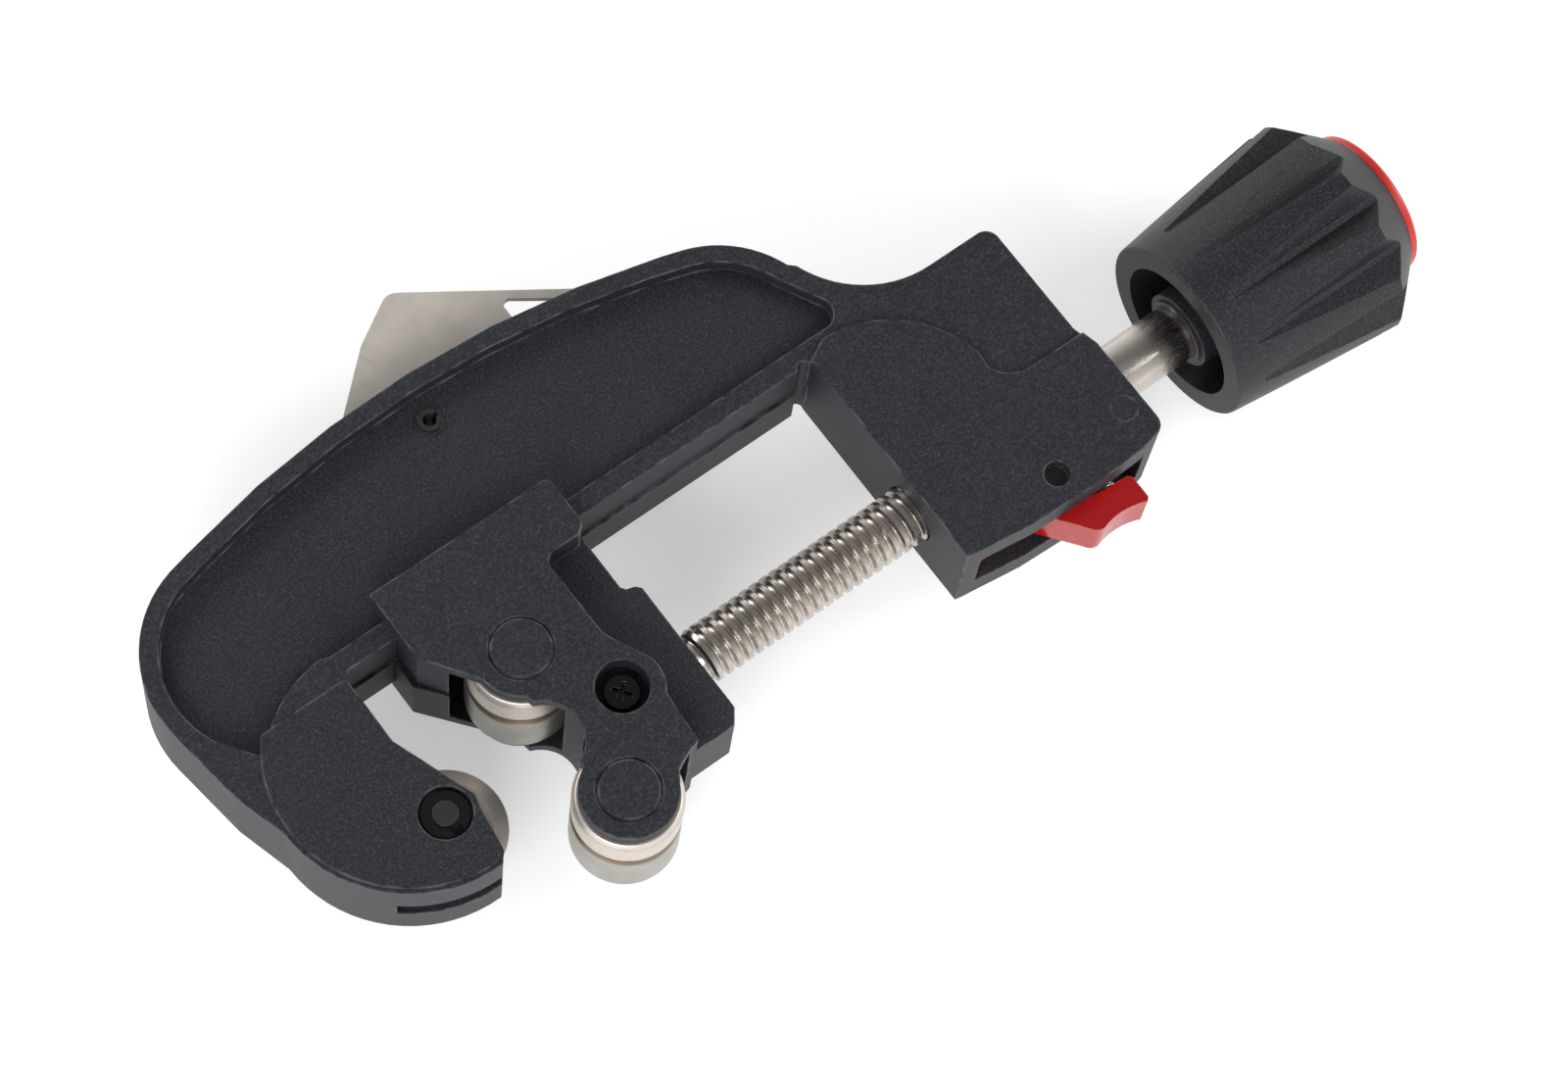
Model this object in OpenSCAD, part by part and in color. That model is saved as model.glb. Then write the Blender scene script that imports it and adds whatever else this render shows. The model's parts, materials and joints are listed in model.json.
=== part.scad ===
// Quick-release tube cutter: a die-cast C-frame, a roller carriage that slides on the frame's rail,
// and a feed screw with a sprung half nut. Lengths are in millimetres.
// The modules are drawn with the cutter wheel's axis as the origin, the feed screw along X and the
// frame's back towards +Y, and place() then moves the origin to the axis of the tube in the throat.

/* [Capacity] */
// Diameter of the cutter wheel
wheel_d = 20; // [18:0.5:20.5]
// Diameter of the tube that the throat holds as it is set
tube_d = 14.4; // [14:0.1:15]
// How far the carriage opens from this setting
open_travel = 44.6; // [44:0.1:45]

/* [Frame] */
// Half thickness of the frame's rim and rail
rim_z = 9; // [8:0.1:9]
// Half thickness of the web inside the rim
web_z = 6.2; // [5:0.1:6.4]
// Half thickness of the feed housing
housing_z = 10; // [9.6:0.1:10.4]
// Width of the rim around the web
rim_w = 3.1; // [2.8:0.1:3.6]
// Y of the rail face that the carriage rides on
rail_y = 28; // [28:0.5:28]
// Thickness of the rail strip
rail_t = 3.5; // [3:0.1:3.5]
// How far the lower half of the rail stands out
rail_ledge = 0.5; // [0.3:0.1:0.6]

/* [Carriage] */
// Half thickness of the carriage
carriage_z = 12.2; // [11.8:0.1:12.6]
// Half thickness of the carriage's rear body
body_z = 7; // [6.6:0.1:7.4]
// Diameter of the tube rollers
roller_d = 17.9; // [17.6:0.1:18]
// Length of the tube rollers
roller_len = 19.4; // [19:0.1:19.6]
// Distance between the two roller axles
roller_gap = 28.6; // [28:0.2:29]
// Clearance between the carriage and the rail
slide_gap = 0.15; // [0.1:0.05:0.2]

/* [Feed screw] */
// Outer diameter of the feed screw
screw_d = 10; // [9.6:0.1:10.2]
// Pitch of the feed thread
pitch = 2; // [1.8:0.1:2.2]
// Depth of the feed thread
thread_h = 0.9; // [0.7:0.05:0.95]
// Length of the threaded stretch
thread_len = 65; // [64:1:66]

/* [Knob] */
// Diameter at the knob's open mouth
knob_mouth_d = 32.6; // [31:0.2:34]
// Largest diameter over the knob's ridges
knob_d = 40.6; // [38:0.2:42]
// Length from the mouth to the end cap
knob_len = 40; // [38:0.5:41]
// Number of ridges around the knob
ridges = 12; // [10:1:14]

/* [Release lever] */
// Thickness of the lever
lever_t = 8.2; // [7.8:0.1:8.4]

/* [Hidden] */
$fn = 96;
eps = 0.01;
far = 60;               // longer than any cut it is used in
fit = 0.05;             // radial running clearance of a shaft that turns
seat = 0.02;            // radial clearance of a shaft that is held
screw_r = screw_d / 2;
wheel_r = wheel_d / 2;
roller_r = roller_d / 2;

// ---- places, measured from the cutter wheel's axis ----
tube = [wheel_r + tube_d / 2, 0];
contact = tube_d / 2 + roller_r;
roller_x = tube[0] + sqrt(contact * contact - roller_gap * roller_gap / 4);
roller_y = roller_gap / 2;
pad_back = [roller_x, roller_y];
pad_front = [roller_x, -roller_y];

jaw_c = [2, 12.2];      // centre of the round jaw that carries the wheel
jaw_r = 24.1;
body_x1 = 47.5;         // rear face of the carriage
house_x0 = body_x1 + open_travel + 0.3; // the face of the housing that stops the carriage
house_x1 = 131.4;
house_y1 = 30.6;
lip = 1.2;              // the housing stands out by this much around the screw
carriage_y1 = 35.4;     // back edge of the plates that wrap the rail
strip_y1 = rail_y + rail_t;

wheel_w = 3.6;
wheel_slot = 4;
wheel_pin_r = 2.1;
pin_sink_r = 4.35;
pin_sink = 1.8;

blade_t = 1.2;
blade_slot = 1.7;
blade_pivot = [36.7, 56.1];
blade_pin_r = 1.95;

lever_pivot = [112.9, -10.9];
lever_pin_r = 1.9;
lever_slot_z = 4.8;
lever_x0 = 97;
slot_x = [95.4, 128.6];
nut_x = [97.5, 103.5];
nut_z = 3.3;
nut_seat_y = -9.7;      // where the half nut stands on the lever
nut_bite = 0.5;         // how deep the half nut reaches into the thread
nut_play = 0.25;        // clearance beside the half nut's teeth
spring_x = 120.4;
spring_y = [-15.9, -6.7];
spring_r = 2.3;
wire_r = 0.35;

thread_x = 48.6;         // where the thread starts
crest_r = screw_r - 0.05;
root_r = screw_r - thread_h;
neck_r = root_r - 0.12;
thread_w = [1.5, 0.85]; // width of the thread's ridge at its root and at its crest
collar_x = [37.7, 41.7];
collar_r = 4.7;
shank_end = 174;

knob_x = 148.6;         // plane of the knob's mouth
knob_ridge_x = knob_x + knob_len - 8;
knob_end = knob_x + knob_len;
cap_r = 13.2;
hollow_r = 12.2;
hollow_len = 24;
bush_r = 5.9;
hub_r = 6.9;

screw_head_r = 2.9;
clamp = [33.9, 0];      // axis of the screw that clamps the carriage halves
clamp_r = 1.6;

// ---- helpers ----
module place() translate([-tube[0], 0, 0]) children();
module plate(z) linear_extrude(2 * z, center = true) children();
module along_x(x0, x1, r) translate([x0, 0, 0]) rotate([0, 90, 0]) cylinder(r = r, h = x1 - x0);
module pin(at, z0, z1, r) translate([at[0], at[1], z0]) cylinder(r = r, h = z1 - z0);
module box(x, y, z) translate([x[0], y[0], z[0]]) cube([x[1] - x[0], y[1] - y[0], z[1] - z[0]]);
module both_sides() { children(); mirror([0, 0, 1]) children(); }

// Points on an arc from angle a to angle b, about one every 5 degrees
function arc(c, r, a, b) = let(n = max(2, ceil(abs(b - a) / 5)))
    [for (i = [0:n]) let(t = a + (b - a) * i / n) c + r * [cos(t), sin(t)]];

// A solid screw along X: w holds the width of the thread's ridge at its root and at its crest
module thread(x0, turns, r_in, r_out, w, seg = 20) {
    n = floor(turns * seg);
    section = [[r_in, -w[0] / 2], [r_out, -w[1] / 2], [r_out, w[1] / 2], [r_in, w[0] / 2]];
    points = [for (i = [0:n]) let(a = 360 * i / seg)
        each [for (q = section) [x0 + pitch * i / seg + q[1], q[0] * cos(a), q[0] * sin(a)]]];
    ends = [[x0, 0, 0], [x0 + pitch * n / seg, 0, 0]];
    ridge = [for (i = [0:n - 1], k = [0:2]) [4 * i + k, 4 * i + k + 1, 4 * i + 5 + k, 4 * i + 4 + k]];
    valley = [for (i = [0:n - seg - 1]) let(m = 4 * (i + seg))
        [4 * i + 3, m, m + 4, 4 * i + 7]];
    first = 4 * n + 4;
    last = first + 1;
    start_fan = [for (i = [0:seg - 1]) [first, 4 * i, 4 * i + 4]];
    end_fan = [for (i = [n - seg:n - 1]) [last, 4 * i + 7, 4 * i + 3]];
    start_face = [first, 4 * seg, 3, 2, 1, 0];
    end_face = [last, 4 * (n - seg) + 3, 4 * n, 4 * n + 1, 4 * n + 2, 4 * n + 3];
    polyhedron(concat(points, ends), concat(ridge, valley, start_fan, end_fan, [start_face, end_face]),
        convexity = 10);
}

// ---- frame ----
bow_c = [-6.6, 38];     // the bow's round corner above the jaw
bow_r = 20.5;
back_c = [35, -113.5];  // the long flat curve of the back
back_r = 177.5;
shoulder_c = [81.4, 37.4];
shoulder_r = 19.6;
dip_c = [118.8, 49.6];  // the hollow curve from the shoulder down to the housing
dip_r = 19;
belly_r = 130;          // the slightly round underside of the housing
belly_c = [116, -16 + belly_r];

module frame_outline() polygon(concat(
    [[house_x0, -13.8], [house_x0, rail_y], [1.2, rail_y], [0.1, rail_y - 1.6], [0.1, 14.3], [2.5, 7.9],
     [4.3, 2.9], [5.4, 0], [3.8, -10.2]],
    arc(jaw_c, jaw_r, -89, -178),
    [[-24.9, 21]],
    arc(bow_c, bow_r, 188, 106),
    arc(back_c, back_r, 104, 74),
    arc(shoulder_c, shoulder_r, 72, 20),
    arc(dip_c, dip_r, 200, 270),
    arc([house_x1 - 2.5, house_y1 - 2.5], 2.5, 90, 0),
    [[house_x1, 8], [house_x1 + lip, 3.5]],
    arc([house_x1 + lip - 2.5, -12.4], 2.5, 0, -70),
    arc(belly_c, belly_r, -85, -100)));

module recess_outline() polygon(concat(
    arc([0, 9.5], 22.6, 93, 141),
    arc(bow_c, bow_r - rim_w, 205, 110),
    arc(back_c, back_r - rim_w, 104, 75),
    arc(shoulder_c, shoulder_r - rim_w, 70, 20),
    arc([98.3, 34.4], 2.9, 20, -90),
    [[0, strip_y1]]));

module housing_outline() intersection() {
    frame_outline();
    polygon(concat([[house_x0, -far], [house_x0, rail_y]],
        arc([95.6, 9.6], 20.4, 88, 10), arc([121, 12.5], 6, 200, 268), [[140, 6.2], [140, -far]]));
}

module blade_sweep() {
    translate(blade_pivot) circle(r = 16.8);
    polygon([[36.7, 49.6], [77.5, 57.9], [80, 72], [15, 72], [21.5, 47]]);
}

module frame() place() color([0.17, 0.18, 0.2]) difference() {
    union() {
        plate(web_z) frame_outline();
        plate(rim_z) difference() {
            frame_outline();
            recess_outline();
        }
        plate(housing_z) housing_outline();
        plate(rim_z + 0.3) intersection() {
            frame_outline();
            translate(jaw_c) circle(r = jaw_r - 0.8);
            translate([-far, -far]) square([2 * far, far + rail_y - 1]);
        }
        box([1.2, house_x0 + 1], [rail_y - rail_ledge, rail_y + 1], [-rim_z, 0]);
    }
    // slot and pin of the cutter wheel
    plate(wheel_slot / 2) {
        circle(r = wheel_r + 1.2);
        polygon([[-wheel_r - 1.2, 0], [-13.9, -7], [-14.6, -far], [far, -far], [far, 4], [0, wheel_r + 1.2]]);
    }
    pin([0, 0], -far, far, wheel_pin_r + seat);
    both_sides() pin([0, 0], rim_z + 0.3 - pin_sink, far, pin_sink_r);
    // slot and pin of the reamer
    plate(blade_slot / 2) blade_sweep();
    pin(blade_pivot, -far, far, blade_pin_r + seat);
    // relief in the inner corner of the rail
    pin([house_x0 - 1.4, rail_y - 0.2], -far, far, 1.2);
    // bore of the feed screw, pocket of the half nut and slot of the lever
    along_x(house_x0 - eps, house_x1 + 2, screw_r + 0.2);
    box([slot_x[0], 108], [-far, 0], [-nut_z - 0.9, nut_z + 0.9]);
    box(slot_x, [-far, -6.6], [-lever_slot_z, lever_slot_z]);
    pin(lever_pivot, -far, far, lever_pin_r + seat);
    both_sides() {
        pin(lever_pivot, housing_z - 1.8, far, 2.15);
        pin([129, -8.2], housing_z - 0.2, far, 2.2);
    }
}

// ---- cutter wheel ----
module cutter_wheel() place() color([0.82, 0.8, 0.78]) rotate_extrude() polygon([
    [wheel_pin_r + fit, -wheel_w / 2], [4.6, -wheel_w / 2], [5, -wheel_w / 2 + 0.25],
    [7.6, -wheel_w / 2 + 0.25], [wheel_r, -0.06], [wheel_r, 0.06], [7.6, wheel_w / 2 - 0.25],
    [5, wheel_w / 2 - 0.25], [4.6, wheel_w / 2], [wheel_pin_r + fit, wheel_w / 2]]);

ring_z = [rim_z + 0.3 - pin_sink + 0.1, rim_z + 0.3 - pin_sink + 1];
module wheel_pin() place() color([0.45, 0.44, 0.43]) difference() {
    union() {
        pin([0, 0], -ring_z[1], rim_z + 0.1, wheel_pin_r);
        pin([0, 0], -ring_z[1], -ring_z[0], 3.9);
    }
    difference() {
        pin([0, 0], ring_z[0] - seat, ring_z[1] + seat, 4);
        pin([0, 0], 0, far, wheel_pin_r - 0.35);
    }
}

module wheel_pin_ring() place() color([0.12, 0.12, 0.13]) difference() {
    pin([0, 0], ring_z[0], ring_z[1], 3.9);
    pin([0, 0], 0, far, wheel_pin_r - 0.35 + seat);
    box([-0.9, 0.9], [-5, 0], [0, far]);
}

// ---- reamer ----
blade_tip_c = [45.4, 77.4];
module reamer_blade() place() color([0.8, 0.78, 0.75]) difference() {
    plate(blade_t / 2) polygon(concat(
        arc([28.2, 63.4], 3.2, 250, 130),
        [[36.6, 75.3]],
        arc(blade_tip_c, 2.8, 121, 56),
        [[71.2, 63.6], [74, 60.6]],
        arc(blade_pivot, 5, -78, -150)));
    plate(blade_t) polygon(concat(arc([60.9, 67.3], 1.1, 190, 56), [[67.8, 63.9], [66, 61.4], [59.8, 60.2]]));
    pin(blade_pivot, -far, far, blade_pin_r + fit);
}

module reamer_pin() place() color([0.22, 0.22, 0.22]) difference() {
    pin(blade_pivot, -web_z - 0.6, web_z + 0.6, blade_pin_r);
    pin(blade_pivot, -far, far, 1.15);
    translate([blade_pivot[0], blade_pivot[1], 0]) rotate([0, 0, 10]) box([0, 5], [-0.35, 0.35], [-far, far]);
}

// ---- release lever ----
module lever_profile() difference() {
    union() {
        polygon([[lever_x0, -12.4], [lever_x0, nut_seat_y], [106.5, nut_seat_y], [110, -7.8],
            [116.4, -8.4], [117.4, spring_y[0]], [124.2, -16.4], [124.8, -17], [124.8, -21.2],
            [124, -22], [114.9, -21.3], [114.1, -20.9], [107.5, -12.5]]);
        translate(lever_pivot) circle(r = 4.2);
    }
    // dished thumb pad
    translate([119.3, -33.4]) circle(r = 12.6);
}

module release_lever() place() color([0.78, 0.1, 0.12]) difference() {
    union() {
        plate(lever_t / 2) lever_profile();
        pin(lever_pivot, -lever_slot_z + 0.15, lever_slot_z - 0.15, 3.4);
    }
    pin(lever_pivot, -far, far, lever_pin_r + fit);
}

module half_nut() place() color([0.72, 0.6, 0.32]) difference() {
    box(nut_x, [nut_seat_y, -3.2], [-nut_z, nut_z]);
    thread(thread_x + 22 * pitch, 6, crest_r - nut_bite, screw_r + 0.2,
        [thread_w[0] + 2 * nut_play - 0.15, thread_w[1] + 2 * nut_play]);
}

module lever_pin() place() color([0.3, 0.3, 0.31])
    pin(lever_pivot, -housing_z + 1.9, housing_z - 1.9, lever_pin_r);

module lever_spring() place() color([0.6, 0.6, 0.62]) {
    turns = 6;
    seg = 16;
    n = turns * seg;
    sides = 6;
    y0 = spring_y[0] + wire_r + 0.05;
    y1 = spring_y[1] - wire_r - 0.05;
    points = [for (i = [0:n], k = [0:sides - 1])
        let(a = 360 * i / seg, b = 360 * k / sides, r = spring_r + wire_r * cos(b))
        [spring_x + r * cos(a), y0 + (y1 - y0) * i / n + wire_r * sin(b), r * sin(a)]];
    faces = [for (i = [0:n - 1], k = [0:sides - 1]) let(m = (k + 1) % sides)
        [sides * i + k, sides * i + sides + k, sides * i + sides + m, sides * i + m]];
    polyhedron(points, concat([[for (k = [0:sides - 1]) k]], faces,
        [[for (k = [sides - 1:-1:0]) sides * n + k]]), convexity = 10);
}

// ---- carriage ----
cheek_z = roller_len / 2 + 0.2;
pad_r = 8;
cap_rise = 0.35;         // how far the axle caps stand proud of the cheeks
window_r = 11.8;        // the roller windows are wider than the rollers
left_x = [10.5, 9.6];   // left end of the upper and the lower half
module cheek_outline(x0) polygon(concat(
    [[x0, carriage_y1], [x0, 22.4]],
    arc(pad_back, pad_r, 185, 240),
    arc([18.8, 0], 6.4, 70, -70),
    arc(pad_front, pad_r, 115, 320),
    [[33.2, -16], [36, -14.6], [38.4, -13.9], [38.6, -8.9]],
    arc([33.8, -0.4], 6.8, -40, 15),
    [[36.7, 8.9]],
    arc([38.5, 22.6], 2, 180, 90),
    [[43.4, 24.6], [45.1, 26.1], [45.1, carriage_y1 - 0.8], [44.3, carriage_y1]]));

module body_outline() polygon([[34, 27], [44.7, 27], [44.7, 15], [45.3, 14.2], [46.7, 13.8], [body_x1, 12.9],
    [body_x1, -11.7], [45.7, -14.1], [34, -14.1]]);

// The upper half; the lower half is its mirror image with another left end and rail face
module carriage_half(x0, face_y) difference() {
    union() {
        linear_extrude(carriage_z) cheek_outline(x0);
        linear_extrude(body_z) body_outline();
        for (p = [pad_back, pad_front]) pin(p, carriage_z - 0.4, carriage_z + cap_rise, 4.9);
    }
    // rail channel: round the strip, and over the web behind it
    box([0, far], [face_y - slide_gap, strip_y1 + slide_gap], [-eps, rim_z + slide_gap]);
    box([0, far], [rail_y, carriage_y1 + 1], [-eps, web_z + slide_gap]);
    // roller windows with their blind axle holes
    for (p = [pad_back, pad_front]) {
        pin(p, -eps, cheek_z, window_r);
        pin(p, -eps, cheek_z + 1.6, 2 + seat);
        difference() {
            pin(p, carriage_z - 0.3, far, 5.3);
            pin(p, 0, 2 * carriage_z, 4.9);
        }
    }
    // pocket of the screw's collar, and the bore it leaves by
    along_x(collar_x[0] - 1.2, collar_x[1] + 0.1, collar_r + 0.1);
    along_x(collar_x[1], far, neck_r + fit);
}

module carriage_upper() place() color([0.17, 0.18, 0.2]) difference() {
    carriage_half(left_x[0], rail_y);
    pin(clamp, -eps, far, clamp_r + 0.1);
    pin(clamp, carriage_z - 4.6, far, 4.4);
}

module carriage_lower() place() color([0.16, 0.17, 0.19]) difference() {
    mirror([0, 0, 1]) carriage_half(left_x[1], rail_y - rail_ledge);
    pin(clamp, -10, eps, clamp_r + seat);
}

module carriage_screw() place() color([0.05, 0.05, 0.05]) {
    head_z = carriage_z - 4.5;
    difference() {
        union() {
            pin(clamp, -9.8, head_z + 1, clamp_r);
            pin(clamp, head_z, head_z + 1.9, screw_head_r);
        }
        for (a = [35, 125]) translate([clamp[0], clamp[1], head_z + 0.8]) rotate([0, 0, a])
            box([-1.7, 1.7], [-0.35, 0.35], [0, 5]);
    }
}

module thrust_washer() place() color([0.7, 0.66, 0.5])
    along_x(collar_x[0] - 1.1, collar_x[0] - 0.1, collar_r - 0.1);

// ---- rollers ----
module roller(at) place() color([0.78, 0.75, 0.72]) translate([at[0], at[1], 0]) rotate_extrude() {
    h = roller_len / 2;
    groove = roller_r - 0.55;
    polygon([[2 + fit, -h], [roller_r - 0.5, -h], [roller_r, -h + 0.7], [roller_r, 0.5], [groove, 1.2],
        [groove, 3], [roller_r, 3.5], [roller_r, h - 1.1], [roller_r - 0.6, h], [2 + fit, h]]);
}
module roller_back() roller(pad_back);
module roller_front() roller(pad_front);

module axle(at) place() color([0.6, 0.6, 0.6]) pin(at, -cheek_z - 1.5, cheek_z + 1.5, 2);
module roller_axle_back() axle(pad_back);
module roller_axle_front() axle(pad_front);

// ---- feed screw and knob ----
module feed_screw() place() color([0.8, 0.78, 0.76]) difference() {
    union() {
        along_x(collar_x[0], collar_x[1] - fit, collar_r);
        along_x(collar_x[1] - 1, thread_x + 4, neck_r);
        thread(thread_x, floor(thread_len / pitch), root_r, crest_r, thread_w);
        along_x(thread_x + thread_len - 1.5, shank_end, screw_r);
    }
    along_x(shank_end - 13, shank_end + 1, 2.5 + seat);
}

module knob_flutes() for (i = [0:ridges - 1]) rotate([(i + 0.5) * 360 / ridges, 0, 0])
    translate([knob_x + 5, 0, knob_mouth_d / 2 + 0.3]) rotate([0, -1, 0]) rotate([90, 0, 90])
        linear_extrude(far) polygon([[-0.5, 0], [-6.5, 5], [6.5, 5], [0.5, 0]]);

module knob() place() color([0.2, 0.21, 0.22]) difference() {
    union() {
        difference() {
            rotate([0, 90, 0]) rotate_extrude() polygon([
                [hollow_r, knob_x], [knob_mouth_d / 2 - 0.3, knob_x], [knob_mouth_d / 2, knob_x + 0.3],
                [knob_d / 2, knob_ridge_x], [cap_r, knob_end], [0, knob_end],
                [0, knob_x + hollow_len], [hollow_r - 0.6, knob_x + hollow_len]]);
            knob_flutes();
        }
        along_x(knob_x + 0.3, knob_x + hollow_len + 1, hub_r);
        for (a = [0:60:300]) rotate([a, 0, 0])
            box([knob_x + 9, knob_x + hollow_len + 1], [hub_r - 1, hollow_r + 0.5], [-0.8, 0.8]);
    }
    along_x(knob_x - 1, shank_end + 0.5, bush_r + seat);
    along_x(shank_end, knob_end - 9, 2.5 + 0.2);
    along_x(knob_end - 10, knob_end + 1, 6);
}

module knob_bush() place() color([0.4, 0.4, 0.4]) difference() {
    along_x(knob_x - 0.2, shank_end, bush_r);
    along_x(0, shank_end + 1, screw_r + seat);
}

module knob_screw() place() color([0.3, 0.3, 0.3]) difference() {
    union() {
        along_x(shank_end - 12, knob_end - 9, 2.5);
        along_x(knob_end - 10 + 0.05, knob_end - 6.5, 4.2);
    }
    translate([knob_end - 8.5, 0, 0]) rotate([0, 90, 0]) cylinder(r = 2, h = 5, $fn = 6);
}

module knob_cap() place() color([0.85, 0.22, 0.15]) rotate([0, 90, 0]) rotate_extrude() polygon(concat(
    [[0, knob_end - 4], [5.2, knob_end - 4], [5.2, knob_end - 5], [6 - seat, knob_end - 5],
     [6 - seat, knob_end + 0.02], [cap_r - 0.1, knob_end + 0.02]],
    arc([cap_r - 0.9, knob_end + 0.9], 0.8, 0, 80),
    [[9, knob_end + 1.95], [0, knob_end + 2.1]]));

frame();
cutter_wheel();
wheel_pin();
wheel_pin_ring();
reamer_blade();
reamer_pin();
release_lever();
half_nut();
lever_pin();
lever_spring();
carriage_upper();
carriage_lower();
carriage_screw();
thrust_washer();
roller_back();
roller_front();
roller_axle_back();
roller_axle_front();
feed_screw();
knob();
knob_bush();
knob_screw();
knob_cap();
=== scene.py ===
"""A quick-release tube cutter on a pale floor. Metres, in the row frame of the CAD model."""
import json
from math import cos, radians, sin, tau

import bmesh
import bpy
from mathutils import Matrix, Vector


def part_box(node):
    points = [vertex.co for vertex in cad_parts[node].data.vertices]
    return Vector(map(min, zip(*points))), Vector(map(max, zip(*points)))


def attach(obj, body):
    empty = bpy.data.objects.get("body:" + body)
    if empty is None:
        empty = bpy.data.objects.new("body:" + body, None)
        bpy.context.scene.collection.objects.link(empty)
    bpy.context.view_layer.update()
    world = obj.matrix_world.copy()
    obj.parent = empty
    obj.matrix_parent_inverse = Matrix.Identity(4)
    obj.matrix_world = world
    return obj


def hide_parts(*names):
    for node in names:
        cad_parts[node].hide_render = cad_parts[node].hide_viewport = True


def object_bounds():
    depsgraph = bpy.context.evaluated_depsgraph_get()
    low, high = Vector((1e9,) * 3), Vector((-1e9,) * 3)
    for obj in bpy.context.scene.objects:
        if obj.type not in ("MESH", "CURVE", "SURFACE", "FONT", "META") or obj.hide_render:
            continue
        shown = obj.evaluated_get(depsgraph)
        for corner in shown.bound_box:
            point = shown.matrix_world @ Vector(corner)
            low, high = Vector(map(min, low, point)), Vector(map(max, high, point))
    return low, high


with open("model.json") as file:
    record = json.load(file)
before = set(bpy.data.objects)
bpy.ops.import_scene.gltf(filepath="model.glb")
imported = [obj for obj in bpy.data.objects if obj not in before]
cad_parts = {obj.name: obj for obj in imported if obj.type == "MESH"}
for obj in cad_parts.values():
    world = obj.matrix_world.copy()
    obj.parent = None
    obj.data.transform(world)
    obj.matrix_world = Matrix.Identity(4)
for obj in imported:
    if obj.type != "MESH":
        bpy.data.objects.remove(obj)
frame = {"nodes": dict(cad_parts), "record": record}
nodes = frame["nodes"]
cad_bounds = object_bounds()
MM = 0.001

# ---- camera: the photograph's viewing angle ----
AIM = Vector((55.7, 8.2, 0)) * MM      # where the middle of the view meets the tool's mid-plane
DISTANCE = 714.2 * MM
AZIMUTH, ELEVATION, ROLL = radians(-47.81), radians(68.45), radians(11.61)
LENS = 101.25


def camera():
    data = bpy.data.cameras.new("camera")
    data.lens = LENS
    data.sensor_width = 36
    data.clip_start, data.clip_end = 0.01, 20
    back = Vector((sin(AZIMUTH) * cos(ELEVATION), -cos(AZIMUTH) * cos(ELEVATION), sin(ELEVATION)))
    right = Vector((cos(AZIMUTH), sin(AZIMUTH), 0))
    turned = Matrix.Rotation(ROLL, 3, back)
    right = turned @ right
    up = back.cross(right)
    cam = bpy.data.objects.new("camera", data)
    turn = Matrix((right, up, back)).transposed().to_4x4()
    cam.matrix_world = Matrix.Translation(AIM + back * DISTANCE) @ turn
    bpy.context.scene.collection.objects.link(cam)
    bpy.context.scene.camera = cam


# ---- floor and light ----
def softbox(name, at, size, power, colour=(1, 1, 1)):
    data = bpy.data.lights.new(name, "AREA")
    data.shape, data.size, data.size_y = "RECTANGLE", size[0], size[1]
    data.energy, data.color = power, colour
    lamp = bpy.data.objects.new(name, data)
    lamp.location = at
    lamp.rotation_euler = (AIM - Vector(at)).to_track_quat("-Z", "Y").to_euler()
    bpy.context.scene.collection.objects.link(lamp)


def studio():
    """A white floor under a sky that is bright near the horizon and dim overhead."""
    low = cad_bounds[0][2]
    mesh = bpy.data.meshes.new("floor")
    r = 6
    mesh.from_pydata([(-r, -r, low), (r, -r, low), (r, r, low), (-r, r, low)], [], [(0, 1, 2, 3)])
    floor = bpy.data.objects.new("floor", mesh)
    bpy.context.scene.collection.objects.link(floor)
    paint = bpy.data.materials.new("floor")
    paint.use_nodes = True
    shader = paint.node_tree.nodes["Principled BSDF"]
    shader.inputs["Base Color"].default_value = (0.68, 0.68, 0.68, 1)
    shader.inputs["Emission Color"].default_value = (1, 1, 1, 1)
    shader.inputs["Emission Strength"].default_value = 0.42
    shader.inputs["Roughness"].default_value = 0.8
    mesh.materials.append(paint)
    world = bpy.data.worlds.new("studio")
    world.use_nodes = True
    tree = world.node_tree
    place = tree.nodes.new("ShaderNodeTexCoord")
    parts = tree.nodes.new("ShaderNodeSeparateXYZ")
    ramp = tree.nodes.new("ShaderNodeValToRGB")
    tree.links.new(place.outputs["Generated"], parts.inputs[0])
    tree.links.new(parts.outputs["Z"], ramp.inputs["Fac"])
    tree.links.new(ramp.outputs["Color"], tree.nodes["Background"].inputs["Color"])
    for element, (at, grey) in zip(ramp.color_ramp.elements, ((0.15, 1.0), (0.85, 0.26))):
        element.position, element.color = at, (grey, grey, grey, 1)
    tree.nodes["Background"].inputs["Strength"].default_value = 1.0
    bpy.context.scene.world = world
    bpy.context.scene.view_settings.view_transform = "Standard"
    softbox("key", (-0.9, -0.7, 0.75), (0.9, 0.6), 17)
    softbox("fill", (1.1, -0.5, 0.65), (0.8, 0.6), 10)
    softbox("back", (-0.3, 1.2, 0.6), (1.2, 0.5), 10)


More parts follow.
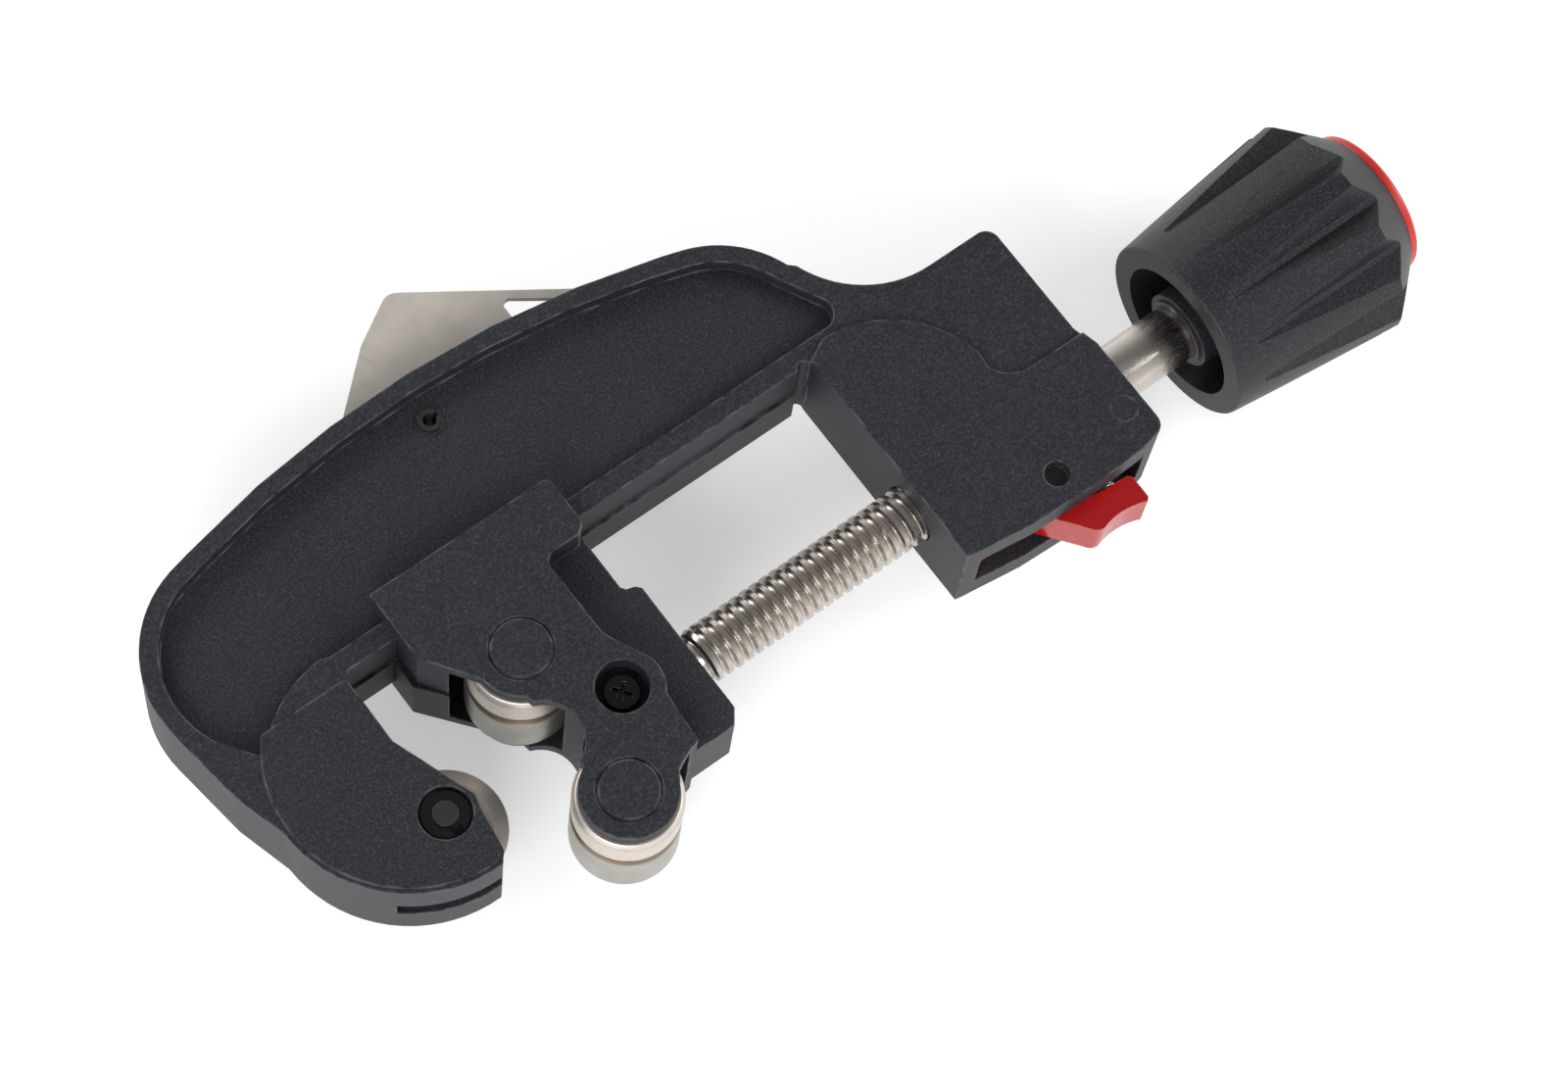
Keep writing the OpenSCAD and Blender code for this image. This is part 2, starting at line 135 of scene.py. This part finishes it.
# ---- materials ----
class Nodes:
    """Short calls for building one material's node tree in object coordinates."""

    def __init__(self, name):
        self.material = bpy.data.materials.new(name)
        self.material.use_nodes = True
        self.tree = self.material.node_tree
        self.shader = self.tree.nodes["Principled BSDF"]
        self.place = self.tree.nodes.new("ShaderNodeTexCoord").outputs["Object"]

    def add(self, kind, inputs=None, **settings):
        n = self.tree.nodes.new(kind)
        for key, value in settings.items():
            setattr(n, key, value)
        for key, value in (inputs or {}).items():
            self.put(n.inputs[key], value)
        return n

    def put(self, socket, value):
        if isinstance(value, bpy.types.NodeSocket):
            self.tree.links.new(value, socket)
        else:
            socket.default_value = value

    def set(self, **values):
        for key, value in values.items():
            self.put(self.shader.inputs[key.replace("_", " ")], value)

    def noise(self, size, detail=3, roughness=0.55, stretch=(1, 1, 1)):
        """Noise whose grains are about size metres across, drawn out by stretch."""
        scaled = self.add("ShaderNodeMapping", {"Vector": self.place, "Scale": tuple(1 / s for s in stretch)})
        return self.add("ShaderNodeTexNoise", {"Vector": scaled.outputs[0], "Scale": 0.5 / size,
                                               "Detail": detail, "Roughness": roughness}).outputs["Fac"]

    def spots(self, size):
        """Distance to the middle of the nearest of many cells about size metres across."""
        return self.add("ShaderNodeTexVoronoi", {"Vector": self.place, "Scale": 1 / size}).outputs["Distance"]

    def ramp(self, value, *stops):
        """A colour or grey ramp: stops are (position, colour or grey)."""
        n = self.add("ShaderNodeValToRGB", {"Fac": value})
        ramp = n.color_ramp
        while len(ramp.elements) < len(stops):
            ramp.elements.new(0.5)
        for element, (at, colour) in zip(ramp.elements, stops):
            element.position = at
            element.color = (*colour, 1) if isinstance(colour, tuple) else (colour, colour, colour, 1)
        return n.outputs["Color"]

    def span(self, value, low, high, to_low, to_high):
        return self.add("ShaderNodeMapRange", {"Value": value, "From Min": low, "From Max": high,
                                               "To Min": to_low, "To Max": to_high}).outputs[0]

    def maths(self, operation, a, b=0.0):
        return self.add("ShaderNodeMath", {0: a, 1: b}, operation=operation).outputs[0]

    def mix(self, amount, a, b):
        n = self.add("ShaderNodeMix", data_type="RGBA")
        self.put(n.inputs["Factor"], amount)
        self.put(n.inputs[6], (*a, 1) if isinstance(a, tuple) else a)
        self.put(n.inputs[7], (*b, 1) if isinstance(b, tuple) else b)
        return n.outputs[2]

    def bump(self, height, depth, under=None):
        """A bump of depth metres; under is a coarser bump that it lies on."""
        n = self.add("ShaderNodeBump", {"Height": height, "Strength": 1.0, "Distance": depth})
        if under is not None:
            self.put(n.inputs["Normal"], under)
        return n.outputs["Normal"]


def srgb(r, g, b):
    """A linear colour from the 0 to 255 values that it shows as."""
    return tuple(((c / 255 + 0.055) / 1.055) ** 2.4 if c > 10 else c / 255 / 12.92 for c in (r, g, b))


def rubbed_and_highlit_edges(m, base, rough, radius, colour, amount):
    """Lightens and polishes the outer edges, broken up by noise, as rubbed wear and painted highlight:
    returns the new colour and roughness.
    """
    edge = m.add("ShaderNodeBevel", {"Radius": radius}, samples=4)
    flat = m.add("ShaderNodeNewGeometry").outputs["Normal"]
    turn = m.add("ShaderNodeVectorMath", {0: edge.outputs[0], 1: flat}, operation="DOT_PRODUCT")
    mask = m.span(turn.outputs["Value"], 0.995, 0.90, 0.0, 1.0)
    # noise that breaks up the lightened edges, which paint both rubbed wear and a highlight
    rub_and_highlight = m.ramp(m.noise(1.4 * MM, detail=5), (0.42, 0.0), (0.62, 1.0))
    mask = m.maths("MULTIPLY", m.maths("MULTIPLY", mask, rub_and_highlight), amount)
    return m.mix(mask, base, colour), m.maths("SUBTRACT", rough, m.maths("MULTIPLY", mask, 0.12))


def powder_coat():
    """Fine textured coat: grainy, with pale specks, and edges lightened as slightly rubbed paint and painted
    highlight.
    """
    m = Nodes("frame_paint")
    grain = m.noise(0.22 * MM, detail=5, roughness=0.7)
    cloud = m.noise(11 * MM, detail=3)
    base = m.ramp(cloud, (0.3, srgb(19, 21, 25)), (0.7, srgb(25, 26, 31)))
    base = m.mix(m.span(grain, 0.46, 0.70, 0.0, 0.8), base, srgb(56, 60, 68))
    speck = m.ramp(m.spots(0.8 * MM), (0.06, 1.0), (0.14, 0.0))
    base = m.mix(m.maths("MULTIPLY", speck, 0.55), base, srgb(98, 102, 110))
    # edges lightened towards pale grey: rubbed paint and painted highlight
    base, rough = rubbed_and_highlit_edges(m, base, m.span(grain, 0.3, 0.7, 0.40, 0.60), 0.5 * MM, srgb(112, 115, 117), 0.7)
    m.shader.inputs["Specular IOR Level"].default_value = 0.3
    m.set(Base_Color=base, Roughness=rough, Normal=m.bump(grain, 0.12 * MM, m.bump(cloud, 0.1 * MM)))
    return m.material


def turned_steel(name, tint, rough=0.28, axis=(1, 1, 1), metal=1.0, edge=0.5):
    m = Nodes(name)
    lines = m.noise(0.12 * MM, detail=3, stretch=axis)
    cloud = m.noise(4 * MM, detail=3)
    low = tuple(c * 0.82 for c in tint)
    base = m.ramp(cloud, (0.3, low), (0.7, tint))
    stain = m.ramp(m.noise(1.1 * MM, detail=5), (0.62, 0.0), (0.74, 0.35))
    base = m.mix(stain, base, tuple(c * k for c, k in zip(tint, (0.55, 0.5, 0.42))))
    bright = tuple(min(1.0, c * 1.35) for c in tint)
    # edges lightened to the brighter tint: rubbed metal and painted highlight
    base, rough = rubbed_and_highlit_edges(m, base, m.span(lines, 0.3, 0.7, rough - 0.07, rough + 0.1), 0.15 * MM, bright, edge)
    m.shader.inputs["Metallic"].default_value = metal
    m.set(Base_Color=base, Roughness=rough, Normal=m.bump(lines, 0.004 * MM))
    return m.material


def roller_steel():
    """Satin nickel: brighter above the flare groove, duller below it, with a darker brown band in the groove.
    """
    m = Nodes("roller_steel")
    height = m.add("ShaderNodeSeparateXYZ", {0: m.place}).outputs["Z"]
    lines = m.noise(0.1 * MM, detail=3, stretch=(1, 1, 0.2))
    cloud = m.noise(3 * MM, detail=4)
    base = m.ramp(cloud, (0.3, srgb(150, 148, 140)), (0.7, srgb(166, 164, 157)))
    base = m.mix(m.span(height, 3.2 * MM, 3.5 * MM, 0.0, 1.0), base, srgb(200, 191, 182))
    groove = m.maths("MULTIPLY", m.span(height, 0.55 * MM, 0.8 * MM, 0.0, 1.0),
                     m.span(height, 3.4 * MM, 3.1 * MM, 0.0, 1.0))
    base = m.mix(m.maths("MULTIPLY", groove, m.span(cloud, 0.2, 0.6, 0.75, 1.0)), base, srgb(122, 106, 88))
    dirt = m.ramp(m.noise(0.7 * MM, detail=5), (0.6, 0.0), (0.75, 0.4))
    base = m.mix(dirt, base, srgb(120, 110, 96))
    # edges lightened to near white: rubbed metal and painted highlight
    base, rough = rubbed_and_highlit_edges(m, base, m.span(lines, 0.3, 0.7, 0.34, 0.5), 0.2 * MM, srgb(235, 228, 218), 0.7)
    m.shader.inputs["Metallic"].default_value = 0.85
    m.set(Base_Color=base, Roughness=rough, Normal=m.bump(lines, 0.006 * MM))
    return m.material


def plastic(name, colour, rough, grain_size, grain_depth, rub_and_highlight, gloss=0.5, speckle=0.0):
    m = Nodes(name)
    grain = m.noise(grain_size, detail=4)
    cloud = m.noise(6 * MM, detail=3)
    low = tuple(c * 0.84 for c in colour)
    base = m.ramp(cloud, (0.3, low), (0.7, colour))
    base = m.mix(m.span(grain, 0.5, 0.68, 0.0, speckle), base, rub_and_highlight)
    # edges lightened towards the pale colour: rubbed plastic and painted highlight
    base, rough = rubbed_and_highlit_edges(m, base, m.span(grain, 0.3, 0.7, rough - 0.06, rough + 0.08), 0.35 * MM, rub_and_highlight, 0.45)
    m.shader.inputs["Specular IOR Level"].default_value = gloss
    m.set(Base_Color=base, Roughness=rough, Normal=m.bump(grain, grain_depth))
    return m.material


MATERIALS = {
    "frame_paint": powder_coat(),
    "wheel_steel": turned_steel("wheel_steel", srgb(176, 170, 165), 0.36, metal=0.4),
    "roller_steel": roller_steel(),
    "screw_steel": turned_steel("screw_steel", srgb(196, 188, 180), 0.24, axis=(8, 1, 1)),
    "pin_steel": turned_steel("pin_steel", srgb(58, 56, 56), 0.42, metal=0.6),
    "black_steel": turned_steel("black_steel", srgb(18, 18, 20), 0.22, metal=0.3),
    "blade_steel": turned_steel("blade_steel", srgb(186, 180, 171), 0.42, axis=(30, 1, 1), metal=0.25),
    "lever_red": plastic("lever_red", srgb(158, 8, 12), 0.24, 0.6 * MM, 0.004 * MM, srgb(226, 110, 110)),
    "bronze": turned_steel("bronze", srgb(170, 140, 80), 0.35),
    "knob_plastic": plastic("knob_plastic", srgb(27, 28, 32), 0.44, 0.2 * MM, 0.1 * MM, srgb(82, 84, 90),
                            gloss=0.3, speckle=0.3),
    "cap_red": plastic("cap_red", srgb(196, 34, 20), 0.35, 0.5 * MM, 0.006 * MM, srgb(240, 140, 120)),
}
MATERIALS["carriage_paint"] = MATERIALS["frame_paint"]


def paint_nodes():
    slot_of = {s["node"]: s["material_slot"] for s in frame["record"]["subparts"]}
    for name, obj in nodes.items():
        obj.data.materials.clear()
        obj.data.materials.append(MATERIALS[slot_of[name]])


def soften(name, width, angle=30, segments=3):
    """Rounds the sharp edges of a CAD node by width, and shades the rest smooth."""
    obj = nodes[name]
    weld = obj.modifiers.new("weld", "WELD")
    weld.merge_threshold = 1e-6
    join = obj.modifiers.new("join", "DECIMATE")
    join.decimate_type, join.angle_limit = "DISSOLVE", radians(0.5)
    bevel = obj.modifiers.new("round", "BEVEL")
    bevel.width, bevel.segments, bevel.limit_method = width, segments, "ANGLE"
    bevel.angle_limit = radians(angle)
    for face in obj.data.polygons:
        face.use_smooth = True
    flat = obj.modifiers.new("flat", "WEIGHTED_NORMAL")
    flat.mode, flat.weight, flat.keep_sharp = "FACE_AREA", 90, True


# ---- detailed pieces ----
def piece(name, mesh, body, slot_name, *stands_for):
    """Links a new piece that rides on a body, takes a slot's material and stands for CAD nodes."""
    obj = bpy.data.objects.new(name, mesh)
    bpy.context.scene.collection.objects.link(obj)
    mesh.materials.append(MATERIALS[slot_name])
    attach(obj, body)
    if stands_for:
        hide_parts(*stands_for)
    return obj


def lathe(bm, profile, steps=96):
    """Adds a closed turned body round the X axis: profile holds (x, radius), from axis to axis."""
    rings = []
    for x, r in profile:
        if r == 0:
            rings.append([bm.verts.new((x, 0, 0))])
        else:
            rings.append([bm.verts.new((x, r * cos(tau * i / steps), r * sin(tau * i / steps)))
                          for i in range(steps)])
    for a, b in zip(rings, rings[1:]):
        for i in range(steps):
            j = (i + 1) % steps
            corners = [a[i % len(a)], a[j % len(a)], b[j % len(b)], b[i % len(b)]]
            bm.faces.new(list(dict.fromkeys(corners)))


def finished(bm, name, smooth=35):
    """A mesh from bm, with normals outwards and edges sharper than smooth degrees kept."""
    bmesh.ops.recalc_face_normals(bm, faces=bm.faces)
    for face in bm.faces:
        face.smooth = True
    for edge in bm.edges:
        if len(edge.link_faces) == 2 and edge.calc_face_angle(0) > radians(smooth):
            edge.smooth = False
    mesh = bpy.data.meshes.new(name)
    bm.to_mesh(mesh)
    bm.free()
    return mesh


PITCH = tau / frame["record"]["behaviour"]["couplings"][0]["ratio"]
# the thread's section over one pitch: share of the pitch from the ridge's middle, and depth below the crest
RIDGE = [(-0.5, 0.9), (-0.4, 0.9), (-0.36, 0.82), (-0.25, 0.12), (-0.215, 0.0),
         (0.215, 0.0), (0.25, 0.12), (0.36, 0.82), (0.4, 0.9)]


def feed_screw():
    low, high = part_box("feed_screw")
    radius = 5 * MM
    crest = radius - 0.03 * MM      # the thread stays just under the shank
    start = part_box("carriage_upper")[1].x + 1.1 * MM
    end = start + 65 * MM
    neck = radius - 1.0 * MM
    root = neck - 0.3 * MM
    collar, collar_end = 4.7 * MM, low.x + 3.9 * MM
    seg = 64
    turns = int((end - start) / PITCH)
    bm = bmesh.new()
    rows = []
    for i in range(seg * turns + 1):
        angle = tau * i / seg
        row = []
        for share, depth in RIDGE:
            x = start + PITCH * (i / seg + 0.5 + share)
            r = min(crest - depth * MM, neck + (x - start) * 0.9)
            r = min(max(r, neck - 0.1 * MM, crest - (end - 1 * MM - x) * 0.5), crest)
            row.append(bm.verts.new((x, r * cos(angle), r * sin(angle))))
        rows.append(row)
    for a, b in zip(rows, rows[1:]):
        for k in range(len(RIDGE) - 1):
            bm.faces.new((a[k], a[k + 1], b[k + 1], b[k]))
    for i in range(len(rows) - seg - 1):
        bm.faces.new((rows[i][-1], rows[i + seg][0], rows[i + seg + 1][0], rows[i + 1][-1]))
    c = 0.4 * MM
    lathe(bm, [(low.x, 0), (low.x, collar - c), (low.x + c, collar), (collar_end, collar),
               (collar_end, neck + 0.02 * MM), (start + 1.5 * MM, neck + 0.02 * MM),
               (start + 2 * MM, root), (end - 4 * MM, root), (end - 2 * MM, radius - 0.4 * MM),
               (end - 1 * MM, radius), (high.x - c, radius), (high.x, radius - c), (high.x, 0)])
    piece("feed_screw_turned", finished(bm, "feed_screw_turned", 50), "feed", "screw_steel", "feed_screw")


def lever_spring():
    """A wound spring with its end turns closed."""
    low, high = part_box("lever_spring")
    wire = 0.35 * MM
    radius = (high.x - low.x) / 2 - wire
    middle = (low + high) / 2
    turns, seg = 7, 24
    curve = bpy.data.curves.new("lever_spring_wound", "CURVE")
    curve.dimensions = "3D"
    curve.bevel_depth, curve.bevel_resolution, curve.use_fill_caps = wire, 3, True
    line = curve.splines.new("POLY")
    line.points.add(turns * seg)
    for i, point in enumerate(line.points):
        share = i / (turns * seg)
        rise = min(max((share * turns - 1) / (turns - 2), 0), 1)
        y = low.y + wire + (high.y - low.y - 2 * wire) * (0.06 * share + 0.94 * rise)
        angle = tau * share * turns
        point.co = (middle.x + radius * cos(angle), y, middle.z + radius * sin(angle), 1)
    piece("lever_spring_wound", curve, "frame", "screw_steel", "lever_spring")


camera()
studio()
paint_nodes()
for node_name, radius in {
    "frame": 0.5, "carriage_upper": 0.3, "carriage_lower": 0.3, "cutter_wheel": 0.05, "roller_back": 0.15,
    "roller_front": 0.15, "knob": 0.4, "knob_cap": 0.15, "release_lever": 0.4, "reamer_blade": 0.1,
    "carriage_screw": 0.15, "wheel_pin": 0.1, "knob_bush": 0.1,
}.items():
    soften(node_name, radius * MM)

feed_screw()
lever_spring()
